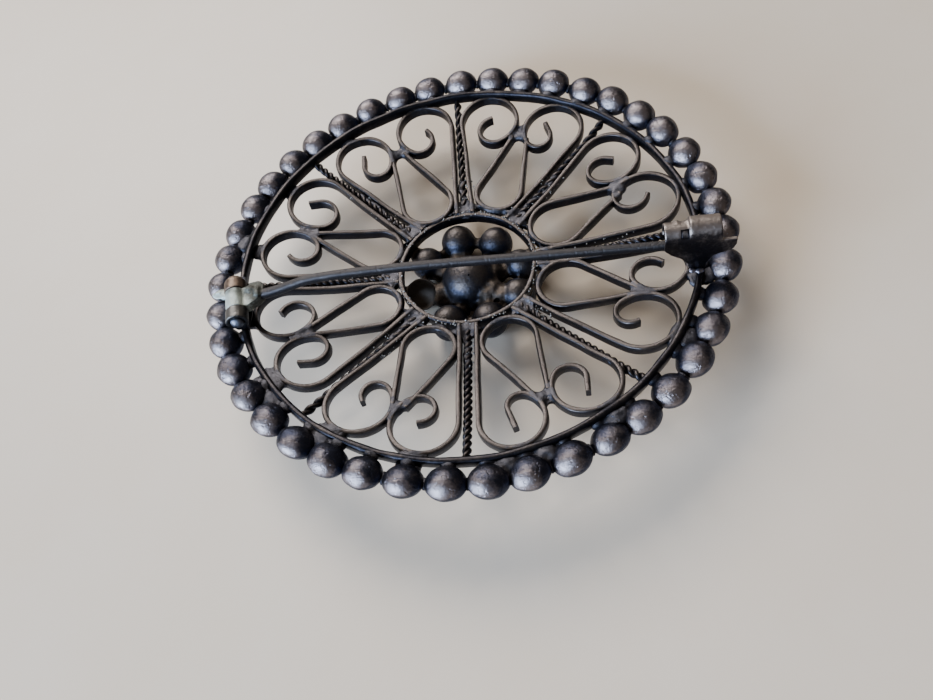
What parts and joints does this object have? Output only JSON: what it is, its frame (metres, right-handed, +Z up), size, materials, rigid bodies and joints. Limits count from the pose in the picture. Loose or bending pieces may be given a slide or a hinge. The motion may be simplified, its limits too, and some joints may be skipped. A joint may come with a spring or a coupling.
{
  "type": "round openwork brooch with a hinged pin",
  "caption": "Round domed openwork brooch of scrolled ribbon with a bead border and a petalled boss, shown from its back with the pin held in a rolled hook.",
  "frame": {"origin": "on the surface the brooch lies on, at the middle of the flattened front of the boss's ball", "axes": "+Z up out of the back of the brooch, +X along the pin from its hinge to its catch"},
  "size_m": [0.0509, 0.0509, 0.0114],
  "materials": {
    "dark_silver": "oxidised, worn on its edges",
    "worn_silver": "worn satin",
    "hinge_silver": "brown oxidised",
    "rivet_wire": "dull",
    "root_metal": "pale satin",
    "pin_wire": "drawn wire"
  },
  "bodies": {
    "brooch": {"openwork": "dark_silver", "boss": "dark_silver", "catch": "worn_silver", "hinge_bracket": "hinge_silver", "hinge_rivet": "rivet_wire"},
    "pin": {"pin_root": "root_metal", "pin_stem": "pin_wire"}
  },
  "joints": [
    {"name": "pin_hinge", "type": "hinge", "parent": "brooch", "child": "pin", "pos_m": [-0.0212, -0.00486, 0.00768], "axis": [0.1908, -0.9816, 0], "range_deg": [0, 110]}
  ]
}
